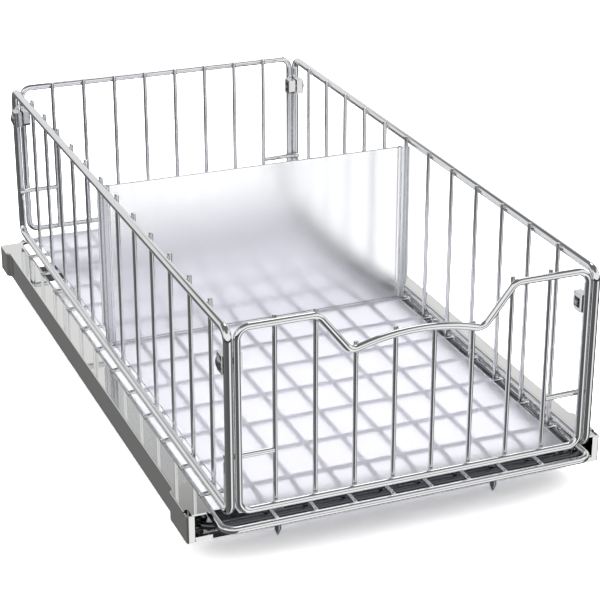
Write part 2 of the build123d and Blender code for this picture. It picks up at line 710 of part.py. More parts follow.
# ---- write every piece --------------------------------------------------
pieces = [
    left_bracket, right_bracket, front_cross_plate, rear_cross_plate, frame_rivets, shelf_screws,
    left_outer_slide, right_outer_slide, left_middle_slide, right_middle_slide,
    left_inner_slide, right_inner_slide, left_outer_cage, right_outer_cage,
    left_inner_cage, right_inner_cage, left_outer_balls, right_outer_balls,
    left_inner_balls, right_inner_balls, tie_bar, base_tray, hanger_screws, floor_mat,
    left_side_panel, right_side_panel, front_panel, back_panel, divider,
    front_left_clamp_outer, front_right_clamp_outer, rear_left_clamp_outer, rear_right_clamp_outer,
    front_left_clamp_inner, front_right_clamp_inner, rear_left_clamp_inner, rear_right_clamp_inner,
    clamp_screws, clamp_nuts,
]
for piece in pieces:
    export_step(piece.part, f"parts/{piece.part.label}.step")
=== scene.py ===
# %% [markdown]
# # Chrome pull-out basket
#
# The construction model arrives as a fixed frame: brackets, ball slides, wire panels, a mat and a
# divider, each as its own named node. This lesson dresses it. Pressed and cast pieces keep their
# own shape and only get a finish. Everything bent or cut from round wire is drawn again with
# Geometry Nodes, because polished wire needs smooth curves: a mirror shows every facet.

# %% Load the frame
import math

import bmesh
import bpy
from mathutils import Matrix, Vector


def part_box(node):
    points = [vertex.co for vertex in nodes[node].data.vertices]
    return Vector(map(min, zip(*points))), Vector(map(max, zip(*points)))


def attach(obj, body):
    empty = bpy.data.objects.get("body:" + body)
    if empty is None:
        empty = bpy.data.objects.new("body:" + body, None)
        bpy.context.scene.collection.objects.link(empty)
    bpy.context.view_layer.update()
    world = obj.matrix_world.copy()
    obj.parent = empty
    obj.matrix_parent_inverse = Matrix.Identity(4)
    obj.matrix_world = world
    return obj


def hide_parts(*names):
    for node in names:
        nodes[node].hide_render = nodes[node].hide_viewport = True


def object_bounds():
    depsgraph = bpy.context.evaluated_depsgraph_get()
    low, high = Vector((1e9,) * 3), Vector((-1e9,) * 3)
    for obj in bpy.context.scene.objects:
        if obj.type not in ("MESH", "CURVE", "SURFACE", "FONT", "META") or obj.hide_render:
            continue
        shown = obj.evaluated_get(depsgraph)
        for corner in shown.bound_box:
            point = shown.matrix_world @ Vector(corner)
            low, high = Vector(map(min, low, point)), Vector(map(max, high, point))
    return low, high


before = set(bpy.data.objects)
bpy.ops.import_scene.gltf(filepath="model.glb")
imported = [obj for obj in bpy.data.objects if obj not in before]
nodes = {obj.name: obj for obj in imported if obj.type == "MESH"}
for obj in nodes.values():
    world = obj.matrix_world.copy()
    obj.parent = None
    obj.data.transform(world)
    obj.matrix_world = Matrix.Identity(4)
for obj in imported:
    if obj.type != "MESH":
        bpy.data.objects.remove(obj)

mm = 0.001
scene = bpy.context.scene
cad_box = [list(corner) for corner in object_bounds()]
print(len(nodes), "nodes from", cad_box[0], "to", cad_box[1])

# %% [markdown]
# ## One helper for every node tree
#
# Geometry trees, materials and the world are all made of nodes. `add` makes one node, sets its
# properties and fills its inputs, either with a value or with another node's output.


# %% A node with its settings and links
def add(tree, kind, inputs=None, **settings):
    node = tree.nodes.new(kind)
    for name, value in settings.items():
        setattr(node, name, value)
    for name, value in (inputs or {}).items():
        socket = node.inputs[name]
        if isinstance(value, bpy.types.NodeSocket):
            tree.links.new(value, socket)
        else:
            socket.default_value = value
    return node


def srgb(code):
    """A hex colour as linear red, green, blue and alpha."""
    values = [int(code[i : i + 2], 16) / 255 for i in (1, 3, 5)]
    return [v / 12.92 if v <= 0.04045 else ((v + 0.055) / 1.055) ** 2.4 for v in values] + [1.0]


print("srgb('#808080') is", [round(v, 3) for v in srgb("#808080")])

# %% [markdown]
# ## Plated steel
#
# Bright chrome over nickel on drawn wire: a nearly perfect mirror, slightly darker than silver.
# What tells the eye that it is real are small things, a plating that lies in very shallow waves
# and a haze that comes and goes over a few centimetres. Both come from noise on Object
# coordinates, so the pattern keeps its size in millimetres on every piece.


# %% A metal finish
def plated(name, colour, rough, haze, wave_mm, wave, stretch=(1, 1, 1), haze_mm=25):
    """A plated or rolled metal. rough to haze is its roughness, wave_mm the width of its waves."""
    material = bpy.data.materials.new(name)
    material.use_nodes = True
    tree = material.node_tree
    shader = tree.nodes["Principled BSDF"]
    shader.inputs["Base Color"].default_value = srgb(colour)
    shader.inputs["Metallic"].default_value = 1.0
    place = add(tree, "ShaderNodeTexCoord").outputs["Object"]
    grain = add(tree, "ShaderNodeMapping", {"Vector": place, "Scale": stretch}).outputs["Vector"]
    cloud = add(tree, "ShaderNodeTexNoise", {"Vector": place, "Scale": 1 / (haze_mm * mm), "Detail": 3.0})
    spread = add(
        tree, "ShaderNodeMapRange",
        {"Value": cloud.outputs["Fac"], "From Min": 0.3, "From Max": 0.7, "To Min": rough, "To Max": haze},
    )
    tree.links.new(spread.outputs["Result"], shader.inputs["Roughness"])
    ripple = add(tree, "ShaderNodeTexNoise", {"Vector": grain, "Scale": 1 / (wave_mm * mm), "Detail": 2.0})
    bump = add(
        tree, "ShaderNodeBump",
        {"Height": ripple.outputs["Fac"], "Strength": wave, "Distance": 0.05 * mm},
    )
    tree.links.new(bump.outputs["Normal"], shader.inputs["Normal"])
    return material


# The wire is a clean mirror. On the wide sheet, slow waves bend the lines that it shows.
chrome_wire = plated("bright_chrome_on_drawn_wire", "#E8E9EA", 0.03, 0.06, 9, 0.35)
plated_sheet = plated("bright_nickel_on_pressed_sheet", "#E6E6E4", 0.02, 0.04, 40, 0.25, haze_mm=40)
# Zinc is greyer than chrome, and this grey is darkened further as painted shade for the dark channel the
# slides run in. Its grain, drawn out fifty times along the slide, smears what it shows.
zinc_darkened_for_shade = plated("zinc_on_rolled_steel", "#85898D", 0.14, 0.22, 1.2, 0.4, stretch=(1, 0.02, 1))
# The cages show only light and dark. The balls between them are bright dots.
cage_steel = plated("zinc_on_stamped_strip", "#B9BCC0", 0.24, 0.34, 3, 0.4)
ball_steel = plated("polished_hardened_steel", "#DCDDE0", 0.04, 0.06, 2, 0.05)
# A casting is a little rough under its chrome, so its highlights are softer than the wire's.
cast_chrome = plated("bright_chrome_on_die_casting", "#E0E0DE", 0.08, 0.14, 3, 0.5)
screw_zinc = plated("zinc_on_headed_screw", "#A9ADB1", 0.20, 0.32, 1.5, 0.5)
black_nut = plated("blackened_pressed_nut", "#3C3D40", 0.28, 0.40, 2, 0.4)
# Painted shade: the bar and the plates under the basket are given dark colours for the shade they lie in,
# so the bright wires stand out before them.
shade_dark_bar = plated("dull_zinc_on_bent_bar", "#5A5C5F", 0.10, 0.16, 9, 0.3)
# painted shade: near black that stands for the shade under the basket
shade_dark_plate = plated("black_passivated_zinc_plate", "#2E2F31", 0.22, 0.34, 20, 0.4)
print("metals:", [m.name for m in bpy.data.materials])

# %% [markdown]
# ## Frosted plastic
#
# The mat and the divider are clear polypropylene sheet with a fine matt grain on both faces. Part
# of the light goes through and is spread on the way, so what lies behind shows as a soft shape.
# The rest comes back white. A ray crosses two faces, so the share that goes right through is
# about the square of `through`. The grain is drawn 0.8 mm wide, so that it shows in the render.


# %% A frosted sheet finish
def frosted(name, colour, through, rough, index):
    """Translucent sheet: through is the share of light that passes a face, index how far it bends."""
    material = bpy.data.materials.new(name)
    material.use_nodes = True
    tree = material.node_tree
    shader = tree.nodes["Principled BSDF"]
    shader.inputs["Base Color"].default_value = srgb(colour)
    shader.inputs["Transmission Weight"].default_value = through
    shader.inputs["IOR"].default_value = index
    place = add(tree, "ShaderNodeTexCoord").outputs["Object"]
    cloud = add(tree, "ShaderNodeTexNoise", {"Vector": place, "Scale": 1 / (30 * mm), "Detail": 3.0})
    spread = add(
        tree, "ShaderNodeMapRange",
        {"Value": cloud.outputs["Fac"], "To Min": rough - 0.04, "To Max": rough + 0.04},
    )
    tree.links.new(spread.outputs["Result"], shader.inputs["Roughness"])
    grain = add(tree, "ShaderNodeTexNoise", {"Vector": place, "Scale": 1 / (0.8 * mm), "Detail": 2.0})
    bump = add(
        tree, "ShaderNodeBump",
        {"Height": grain.outputs["Fac"], "Strength": 0.25, "Distance": 0.05 * mm},
    )
    tree.links.new(bump.outputs["Normal"], shader.inputs["Normal"])
    return material


mat_plastic = frosted("frosted_polypropylene_mat", "#F8F8FF", 0.72, 0.50, 1.10)
divider_plastic = frosted("frosted_polypropylene_divider", "#F6F7F9", 0.92, 0.25, 1.45)
print("plastics:", mat_plastic.name, divider_plastic.name)

# %% [markdown]
# ## Finishes for the nodes that keep their shape
#
# A node's name says what it is, so its finish is chosen by a word in the name. The node's material slots
# are emptied and the finish goes into one new slot.

# %% Paint the construction nodes
finishes = [
    ("bracket", plated_sheet), ("cross_plate", shade_dark_plate), ("cage", cage_steel),
    ("balls", ball_steel), ("outer_slide", zinc_darkened_for_shade), ("middle_slide", zinc_darkened_for_shade),
    ("inner_slide", zinc_darkened_for_shade), ("clamp_screws", screw_zinc), ("clamp_nuts", black_nut),
    ("rivets", screw_zinc), ("screws", screw_zinc), ("clamp", cast_chrome),
    ("mat", mat_plastic), ("divider", divider_plastic), ("", chrome_wire),
]
for name, piece in nodes.items():
    finish = next(material for word, material in finishes if word in name)
    piece.data.materials.clear()
    piece.data.materials.append(finish)
print("painted", len(nodes), "nodes")

# %% [markdown]
# ## Wire from Geometry Nodes
#
# A basket is made of two kinds of wire. Thick rails are bent on a machine that is told the
# corner points and a bend radius for each. Thin grid wires are cut straight, and laid in rows.
#
# `bent_wire` does what the bending machine does: it takes the corner points, rounds each by the
# radius that the point carries, and runs a round section along the line. Modelling the tube by
# hand would give the same picture, but no radius to change afterwards.


# %% The bent wire tree
def tree_inputs(name, sockets):
    """A geometry tree with a geometry output and these named inputs."""
    tree = bpy.data.node_groups.new(name, "GeometryNodeTree")
    tree.interface.new_socket("Geometry", in_out="OUTPUT", socket_type="NodeSocketGeometry")
    for label, kind in sockets:
        tree.interface.new_socket(label, in_out="INPUT", socket_type="NodeSocket" + kind)
    return tree, tree.nodes.new("NodeGroupInput").outputs


bent_wire, given = tree_inputs(
    "bent_wire",
    [("Geometry", "Geometry"), ("Wire radius", "Float"), ("Steps per bend", "Int"),
     ("Facets round", "Int"), ("Material", "Material")],
)
bend = add(bent_wire, "GeometryNodeInputNamedAttribute", {"Name": "bend"}, data_type="FLOAT")
line = add(bent_wire, "GeometryNodeMeshToCurve", {"Mesh": given["Geometry"]})
rounded = add(
    bent_wire, "GeometryNodeFilletCurve",
    {"Curve": line.outputs["Curve"], "Count": given["Steps per bend"],
     "Radius": bend.outputs["Attribute"], "Limit Radius": True},
    mode="POLY",
)
section = add(
    bent_wire, "GeometryNodeCurvePrimitiveCircle",
    {"Resolution": given["Facets round"], "Radius": given["Wire radius"]},
)
tube = add(
    bent_wire, "GeometryNodeCurveToMesh",
    {"Curve": rounded.outputs["Curve"], "Profile Curve": section.outputs["Curve"], "Fill Caps": True},
)
# only the rim of a cut end turns by more than this
rim_angle = math.radians(50)
corner = add(bent_wire, "GeometryNodeInputMeshEdgeAngle")
sharp = add(
    bent_wire, "FunctionNodeCompare", {"A": corner.outputs["Unsigned Angle"], "B": rim_angle},
    data_type="FLOAT", operation="GREATER_THAN",
)
smooth = add(
    bent_wire, "GeometryNodeSetShadeSmooth",
    {"Geometry": tube.outputs["Mesh"], "Selection": sharp.outputs["Result"], "Shade Smooth": False},
    domain="EDGE",
)
real = add(bent_wire, "GeometryNodeRealizeInstances", {"Geometry": smooth.outputs["Geometry"]})
done = add(
    bent_wire, "GeometryNodeSetMaterial",
    {"Geometry": real.outputs["Geometry"], "Material": given["Material"]},
)
add(bent_wire, "NodeGroupOutput", {"Geometry": done.outputs["Geometry"]})
print("bent_wire has", len(bent_wire.nodes), "nodes")

# %% [markdown]
# `wire_row` lays straight wires side by side. One rod is made, its two cut ends get a small
# chamfer, as the tumbling drum gives them, and the rod is placed on a row of points. The ends
# are found by their shape: they are the only faces with more than four corners.

# %% The wire row tree
wire_row, given = tree_inputs(
    "wire_row",
    [("Count", "Int"), ("First", "Vector"), ("Step", "Vector"), ("Turn", "Rotation"),
     ("Length", "Float"), ("Wire radius", "Float"), ("Cut chamfer", "Float"),
     ("Facets round", "Int"), ("Material", "Material")],
)
start = add(wire_row, "ShaderNodeCombineXYZ", {"Z": given["Cut chamfer"]})
short = add(wire_row, "ShaderNodeMath", {0: given["Length"], 1: given["Cut chamfer"]}, operation="SUBTRACT")
end = add(wire_row, "ShaderNodeCombineXYZ", {"Z": short.outputs["Value"]})
axis = add(
    wire_row, "GeometryNodeCurvePrimitiveLine",
    {"Start": start.outputs["Vector"], "End": end.outputs["Vector"]},
)
section = add(
    wire_row, "GeometryNodeCurvePrimitiveCircle",
    {"Resolution": given["Facets round"], "Radius": given["Wire radius"]},
)
rod = add(
    wire_row, "GeometryNodeCurveToMesh",
    {"Curve": axis.outputs["Curve"], "Profile Curve": section.outputs["Curve"], "Fill Caps": True},
)
around = add(wire_row, "GeometryNodeInputMeshFaceNeighbors")
is_end = add(
    wire_row, "FunctionNodeCompare",
    {"A": around.outputs["Vertex Count"], "B": 4}, data_type="INT", operation="GREATER_THAN",
)
pushed = add(
    wire_row, "GeometryNodeExtrudeMesh",
    {"Mesh": rod.outputs["Mesh"], "Selection": is_end.outputs["Result"],
     "Offset Scale": given["Cut chamfer"], "Individual": True},
    mode="FACES",
)
# the flat end inside the chamfer, as a share of the wire's width
flat_share = 0.75
chamfer = add(
    wire_row, "GeometryNodeScaleElements",
    {"Geometry": pushed.outputs["Mesh"], "Selection": pushed.outputs["Top"], "Scale": flat_share},
    domain="FACE",
)
# the rod's facets turn by less than this, the chamfer's outer edge by more
rim_angle = math.radians(35)
corner = add(wire_row, "GeometryNodeInputMeshEdgeAngle")
sharp = add(
    wire_row, "FunctionNodeCompare", {"A": corner.outputs["Unsigned Angle"], "B": rim_angle},
    data_type="FLOAT", operation="GREATER_THAN",
)
smooth = add(
    wire_row, "GeometryNodeSetShadeSmooth",
    {"Geometry": chamfer.outputs["Geometry"], "Selection": sharp.outputs["Result"], "Shade Smooth": False},
    domain="EDGE",
)
places = add(
    wire_row, "GeometryNodeMeshLine",
    {"Count": given["Count"], "Start Location": given["First"], "Offset": given["Step"]},
    mode="OFFSET",
)
laid = add(
    wire_row, "GeometryNodeInstanceOnPoints",
    {"Points": places.outputs["Mesh"], "Instance": smooth.outputs["Geometry"], "Rotation": given["Turn"]},
)
real = add(wire_row, "GeometryNodeRealizeInstances", {"Geometry": laid.outputs["Instances"]})
done = add(
    wire_row, "GeometryNodeSetMaterial",
    {"Geometry": real.outputs["Geometry"], "Material": given["Material"]},
)
add(wire_row, "NodeGroupOutput", {"Geometry": done.outputs["Geometry"]})
print("wire_row has", len(wire_row.nodes), "nodes")

# %% [markdown]
# A tree is only a recipe. `grow` hangs it on an object, sets its inputs by their identifiers,
# reads the finished mesh back and removes the modifier again. `assemble` then joins several
# meshes into one piece, which rides on a body and mostly takes the place of a construction node.


# %% Grow a tree and join what it gives
def grow(tree, mesh=None, **values):
    """The plain mesh that this tree gives. Values are named as its inputs, with _ for a space."""
    holder = bpy.data.objects.new("holder", mesh or bpy.data.meshes.new("empty"))
    scene.collection.objects.link(holder)
    modifier = holder.modifiers.new(tree.name, "NODES")
    modifier.node_group = tree
    for item in tree.interface.items_tree:
        key = item.name.replace(" ", "_").lower()
        if item.in_out == "INPUT" and key in values:
            modifier[item.identifier] = values[key]
    depsgraph = bpy.context.evaluated_depsgraph_get()
    grown = bpy.data.meshes.new_from_object(holder.evaluated_get(depsgraph))
    holder.modifiers.remove(modifier)
    bpy.data.objects.remove(holder)
    return grown


def rail(points, radius, closed=False, **attributes):
    """A bent wire through (x, y, z, bend radius) points in mm."""
    mesh = bpy.data.meshes.new("points")
    ends = range(len(points) if closed else len(points) - 1)
    mesh.from_pydata([Vector(p[:3]) * mm for p in points], [(i, (i + 1) % len(points)) for i in ends], [])
    bends = mesh.attributes.new("bend", "FLOAT", "POINT")
    bends.data.foreach_set("value", [p[3] * mm for p in points])
    return grow(
        bent_wire, mesh, wire_radius=radius * mm, steps_per_bend=12, facets_round=24,
        material=chrome_wire,
    )


up, along_y, along_x = (0.0, 0.0, 0.0), (-math.pi / 2, 0.0, 0.0), (0.0, math.pi / 2, 0.0)


def row(count, first, step, length, turn=up, radius=1.6):
    """Straight wires in mm: the foot of the first, the step to the next, and their length."""
    return grow(
        wire_row, count=count, first=Vector(first) * mm, step=Vector(step) * mm, turn=turn,
        length=length * mm, wire_radius=radius * mm, cut_chamfer=0.2 * mm, facets_round=16,
        material=chrome_wire,
    )


def assemble(name, meshes, stands_for, body):
    """One object from several meshes, riding on a body in place of the nodes that it stands for."""
    whole = bmesh.new()
    for mesh in meshes:
        whole.from_mesh(mesh)
    joined = bpy.data.meshes.new(name)
    whole.to_mesh(joined)
    whole.free()
    joined.materials.append(meshes[0].materials[0])
    for mesh in meshes:
        bpy.data.meshes.remove(mesh)
    piece = bpy.data.objects.new(name, joined)
    scene.collection.objects.link(piece)
    if stands_for:
        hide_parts(*stands_for)
    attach(piece, body)
    print(name, len(joined.polygons), "faces")
    return piece


def edges(node):
    """A node's lowest and highest corner in mm."""
    low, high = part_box(node)
    return low / mm, high / mm


# %% [markdown]
# ## The four panels
#
# Where they stand is read from the construction nodes, and wire sizes and bends repeat the
# solid's, so the drawn wire lies on it. Front and back panels are 5 mm wire with eight uprights of
# 3.2 mm on the inside, side panels are 6 mm wire with twelve. Welded wires sink into each other a
# little, which is what `weld` is for.

# %% Sizes read from the frame
# wire radii, and how deep one wire sinks into the next
end_r, side_r, thin_r, tray_r = 2.5, 3.0, 1.6, 2.5
weld = 0.35
# the end panels' rail: half its width and its height between centres, and its corner bends
half_width, end_high, corner_bend = 122.5, 128.0, 8
front_low = edges("front_panel")[0]
side_edge = edges("right_side_panel")[1]
tray_edge = edges("base_tray")[1]
end_y = -front_low.y - end_r
low_z = front_low.z + end_r
top_z = low_z + end_high
side_x = side_edge.x - side_r
wire_y = end_y - end_r - thin_r + weld
wire_x = side_x - side_r - thin_r + weld
mat_z = edges("floor_mat")[0].z
# the uprights' spacing, where the rows start, and how far past a rail's centre they end
pitch, side_pitch = 27.5, 40.4
end_wires = [pitch * (i - 3.5) for i in range(8)]
side_first = -5.5 * side_pitch
end_past = 3.2
print("wire centres: front y", -end_y, "side x", round(side_x, 2), "rail z", low_z, "to", top_z)

# %% [markdown]
# The front rail dips in the middle, to let a hand in and to show what is stored. The dip is two
# slanting runs and one wide arch. The arch is a single corner point with a bend radius of 142 mm:
# the tangents from both valley points meet there. So the whole rail is nine points.

# %% Front panel
valley_x, knee_x = 46.5, 69.0
valley_z, peak_z = top_z - 28.7, top_z - 14.62
arch_bend = 142
front_rail = rail(
    [(x, -end_y, z, bend_r) for x, z, bend_r in (
        (-half_width, low_z, corner_bend), (half_width, low_z, corner_bend),
        (half_width, top_z, corner_bend), (knee_x, top_z, corner_bend),
        (valley_x, valley_z, corner_bend), (0, peak_z, arch_bend),
        (-valley_x, valley_z, corner_bend), (-knee_x, top_z, corner_bend),
        (-half_width, top_z, corner_bend),
    )],
    end_r, closed=True,
)
# the rail's height over each upright, from the outside to the middle
crown_z = valley_z + 7.7
tops = (top_z, top_z - 0.6, crown_z - 6.4, crown_z - 0.7)
uprights = [
    row(2, (x, -wire_y, low_z), (-2 * x, 0, 0), top + end_past - low_z)
    for x, top in zip(end_wires, tops)
]
print("front rail", len(front_rail.polygons), "faces, uprights", len(uprights) * 2)

# %% [markdown]
# Short hook bars stick out sideways from both end panels and reach behind the side panels'
# uprights. Each is 4 mm wire with a shallow S bend, because the two uprights are not in one plane.

# %% Hook bars
hook_z, hook_r, hook_bend = low_z + 37.5, 2.0, 12
slant = math.radians(17.5)
# a bar is welded to its own panel at wall_y, and stands just clear of the side panel at back_y
clear = 0.25
wall_y = end_y - end_r - hook_r + weld
back_y = end_y - side_r - hook_r - clear
run = (wall_y - back_y) / math.tan(slant)
mid_x = half_width + 0.6
hook_xs = (end_wires[-1] + 1.0, mid_x - run * 0.1, mid_x + run * 0.9, side_x + 1.6)
hook_ys = (wall_y, wall_y, back_y, back_y)


def hooks(toward):
    """Both hook bars of the panel at y = toward * end_y."""
    return [
        rail([(side * x, toward * y, hook_z, hook_bend) for x, y in zip(hook_xs, hook_ys)], hook_r)
        for side in (-1, 1)
    ]


assemble("front_wire_panel", [front_rail, *uprights, *hooks(-1)], ["front_panel"], "basket")

# %% Back panel
back_rail = rail(
    [(x, end_y, z, corner_bend) for x, z in
     ((-half_width, low_z), (half_width, low_z), (half_width, top_z), (-half_width, top_z))],
    end_r, closed=True,
)
back_uprights = row(8, (end_wires[0], wire_y, low_z), (pitch, 0, 0), top_z + end_past - low_z)
assemble("back_wire_panel", [back_rail, back_uprights, *hooks(1)], ["back_panel"], "basket")

# %% [markdown]
# A side panel also carries two flat stiffening strips in its lower corners, welded against the
# rail. A strip is a flat plate with a slanted top corner and softly broken edges.


# %% Plates with broken edges
def plate(outline, thickness, place, edge=0.3, finish=chrome_wire):
    """A flat plate in mm. place turns (u, v, height) into (x, y, z)."""
    shape = bmesh.new()
    face = shape.faces.new([shape.verts.new((u * mm, v * mm, 0)) for u, v in outline])
    top = bmesh.ops.extrude_face_region(shape, geom=[face])["geom"]
    for vert in (g for g in top if isinstance(g, bmesh.types.BMVert)):
        vert.co.z = thickness * mm
    if edge:
        bmesh.ops.bevel(
            shape, geom=shape.edges[:], offset=edge * mm, segments=2, profile=0.5, affect="EDGES",
        )
    for vert in shape.verts:
        vert.co = Vector(place(*(vert.co / mm))) * mm
    bmesh.ops.recalc_face_normals(shape, faces=shape.faces[:])
    mesh = bpy.data.meshes.new("plate")
    shape.to_mesh(mesh)
    shape.free()
    mesh.materials.append(finish)
    return mesh


# %% Side panels
rail_z0 = mat_z + 5.65
rail_z1 = rail_z0 + 127.7
# the strip's thickness and width, and the flat and the slant at its top
strip_t, strip_wide, strip_flat, strip_slant = 1.6, 7.4, 5.0, 3.8
strip_top = hook_z - hook_r - 0.5
y0 = end_y - side_r + 0.4
outline = [
    (y0, rail_z0), (y0, strip_top), (y0 - strip_flat, strip_top),
    (y0 - strip_wide, strip_top - strip_slant), (y0 - strip_wide, rail_z0),
]
side_past = side_r + 1.0
for name, side in (("left", -1), ("right", 1)):
    ring = rail(
        [(side * side_x, y, z, corner_bend) for y, z in
         ((-end_y, rail_z0), (end_y, rail_z0), (end_y, rail_z1), (-end_y, rail_z1))],
        side_r, closed=True,
    )
    wires = row(
        12, (side * wire_x, side_first, mat_z), (0, side_pitch, 0), rail_z1 + side_past - mat_z,
    )
    strips = [
        plate(
            outline, strip_t,
            lambda u, v, h, s=side, t=toward: (s * (side_x - strip_t / 2 + h), t * u, v),
        )
        for toward in (-1, 1)
    ]
    assemble(f"{name}_side_wire_panel", [ring, wires, *strips], [f"{name}_side_panel"], "basket")

# %% [markdown]
# ## Base tray and tie bar
#
# The tray is a ring of 5 mm wire with a grid welded inside it: eight long wires butt against the
# ring, twelve cross wires lie on top of it and carry the mat. Six pressed hangers under the ring
# are screwed to the inner slide members.

# %% Base tray
tray_bend = 9
tray_x, tray_y = tray_edge.x - tray_r, tray_edge.y - tray_r
tray_z = mat_z - 2 * thin_r - tray_r + weld
long_z, cross_z = tray_z + tray_r - thin_r, mat_z - thin_r
# long wires end inside the ring's wire, cross wires reach just past its middle
long_end, cross_end = tray_y - 1.5, tray_x + 2
tray_ring = rail(
    [(x, y, tray_z, tray_bend) for x, y in
     ((-tray_x, -tray_y), (tray_x, -tray_y), (tray_x, tray_y), (-tray_x, tray_y))],
    tray_r, closed=True,
)
long_wires = row(
    8, (end_wires[0], -long_end, long_z), (pitch, 0, 0), 2 * long_end, turn=along_y,
)
cross_wires = row(
    12, (-cross_end, side_first, cross_z), (0, side_pitch, 0), 2 * cross_end, turn=along_x,
)
print("tray ring at z", round(tray_z, 2), "cross wires at z", round(cross_z, 2))

# %% Hangers
# sheet thickness, half the length, and how far the outer ones stand in from the slide's ends
hanger_t, hanger_half, hanger_in = 1.5, 15.0, 46
# how far it reaches in under the ring, and down past the slide's middle
lap, drop = 4, 4
hanger_top = tray_z - tray_r + 0.15
inner_x = edges("right_inner_slide")[0].x
slide_low, slide_high = edges("right_outer_slide")
slide_z = (slide_low.z + slide_high.z) / 2
hanger_y = (slide_low.y + hanger_in, 0.0, -slide_low.y - hanger_in)
profile = [
    (tray_x - lap, hanger_top - hanger_t), (inner_x - hanger_t, hanger_top - hanger_t),
    (inner_x - hanger_t, slide_z - drop), (inner_x, slide_z - drop), (inner_x, hanger_top),
    (tray_x - lap, hanger_top),
]
hangers = [
    plate(profile, 2 * hanger_half, lambda u, v, h, s=side, c=y: (s * u, c - hanger_half + h, v), 0.2)
    for side in (-1, 1)
    for y in hanger_y
]
assemble(
    "base_wire_tray", [tray_ring, long_wires, cross_wires, *hangers], ["base_tray"], "basket",
)

# %% Tie bar
bar_r, bar_bend = 2.5, 12
tie_low, tie_high = edges("tie_bar")
bar_x, bar_y, bar_z = tie_high.x - bar_r, tie_low.y + bar_r, (tie_low.z + tie_high.z) / 2
bar = rail(
    [(-bar_x, tie_high.y, bar_z, 0), (-bar_x, bar_y, bar_z, bar_bend),
     (bar_x, bar_y, bar_z, bar_bend), (bar_x, tie_high.y, bar_z, 0)],
    bar_r,
)
tie = assemble("wire_tie_bar", [bar], ["tie_bar"], "basket")
# painted shade: the bar takes the dark grey that stands for the shade under the basket
tie.data.materials[0] = shade_dark_bar

# %% [markdown]
# ## Sheets and castings with the edges that light catches
#
# The construction meshes come as loose triangles. A merged copy can be worked on: the sheets get
# their edges broken by 0.3 mm, which draws the thin line round a frosted panel. The mat is cut to
# end short of the front and back rails, and the corner clamps so that the wires stand clear of
# them.


# %% Merged copies
def reworked(node, finish, keep_y, edge=0.0):
    """A merged copy of a node, cut back to |y| < keep_y and with its corners broken by edge, in mm."""
    shape = bmesh.new()
    shape.from_mesh(nodes[node].data)
    bmesh.ops.remove_doubles(shape, verts=shape.verts[:], dist=1e-6)
    for side in (-1, 1):
        cut = bmesh.ops.bisect_plane(
            shape, geom=shape.verts[:] + shape.edges[:] + shape.faces[:], dist=1e-7,
            plane_co=(0, side * keep_y * mm, 0), plane_no=(0, side, 0), clear_outer=True,
        )["geom_cut"]
        rim = [g for g in cut if isinstance(g, bmesh.types.BMEdge)]
        bmesh.ops.triangle_fill(shape, edges=rim, use_beauty=True, use_dissolve=False)
    bmesh.ops.dissolve_limit(
        shape, angle_limit=math.radians(0.5), verts=shape.verts[:], edges=shape.edges[:],
    )
    if edge:
        corners = [e for e in shape.edges if e.calc_face_angle(0) > math.radians(60)]
        bmesh.ops.bevel(
            shape, geom=corners, offset=edge * mm, segments=2, profile=0.5, affect="EDGES",
        )
    bmesh.ops.recalc_face_normals(shape, faces=shape.faces[:])
    mesh = bpy.data.meshes.new(node)
    shape.to_mesh(mesh)
    shape.free()
    mesh.polygons.foreach_set("use_smooth", [True] * len(mesh.polygons))
    mesh.set_sharp_from_angle(angle=math.radians(30))
    mesh.materials.append(finish)
    return mesh


sheet_end, clamp_end = 257.0, end_y - 0.8
sheets = (
    ("floor_mat", "soft_floor_mat", mat_plastic, "mat"),
    ("divider", "frosted_divider", divider_plastic, "divider"),
)
for node, name, finish, slot in sheets:
    assemble(name, [reworked(node, finish, sheet_end, edge=0.3)], [node], "basket")
for node in sorted(n for n in nodes if "_clamp_" in n):
    assemble(f"{node}_half", [reworked(node, cast_chrome, clamp_end)], [node], "basket")

# %% [markdown]
# The upper flange of a bracket runs on to the front end, parted from the wall there by a narrow
# gap, and the wall turns inward below it with a sharp fold. Two small plates a side go on from the
# pressed solid to make these, and take its finish.

# %% Bracket front ends
low, high = edges("right_bracket")
wall_x, front_y = high.x, -low.y
# sheet thickness, and the fold's outer radius
metal, fold = 1.2, 1.5
# the wall's plate starts behind the fold and ends in a lip, a little below the flange
lap_y, lip_x = front_y - 6.0, wall_x - 5.5
wall_high = high.z - 1.0 - low.z
quarter = [math.radians(a) for a in range(0, 91, 10)]


def fold_points(radius, angles):
    """Points at this radius round the centre of the fold."""
    x, y = wall_x - fold, front_y - fold
    return [(x + radius * math.cos(a), y + radius * math.sin(a)) for a in angles]


wall = [
    (wall_x, lap_y), *fold_points(fold, quarter), (lip_x, front_y), (lip_x, front_y - metal),
    *fold_points(fold - metal, reversed(quarter)), (wall_x - metal, lap_y),
]
# the flange's tip: its inner edge, its edge along the gap, and where it starts
tip_in, tip_out, tip_y = wall_x - 16.2, wall_x - metal - 2.4, front_y - 8.0
tip = [(tip_in, tip_y), (tip_out, tip_y), (tip_out, front_y), (tip_in, front_y)]
for name, side in (("left", -1), ("right", 1)):
    wall_end = plate(
        wall, wall_high, lambda u, v, h, s=side: (s * u, -v, low.z + h), 0, plated_sheet,
    )
    flange_end = plate(
        tip, metal, lambda u, v, h, s=side: (s * u, -v, high.z - metal + h), 0, plated_sheet,
    )
    assemble(
        f"{name}_bracket_front_end", [flange_end, wall_end], [], "cabinet_frame",
    )

# %% [markdown]
# ## Floor, light and camera
#
# A product picture on a white sweep. What polished metal shows is the room, so the room matters
# more than any lamp, and this one is drawn for mirrors alone. Above the table's edge stands a white
# tent with a grey ceiling, which comes lower at the back, and a dark gap runs along its foot. Below
# the edge lies a dark table with one bright window, right of the front, which the brackets' front
# ends and the sides of the uprights catch. The eye and the plastic see plain white around them.

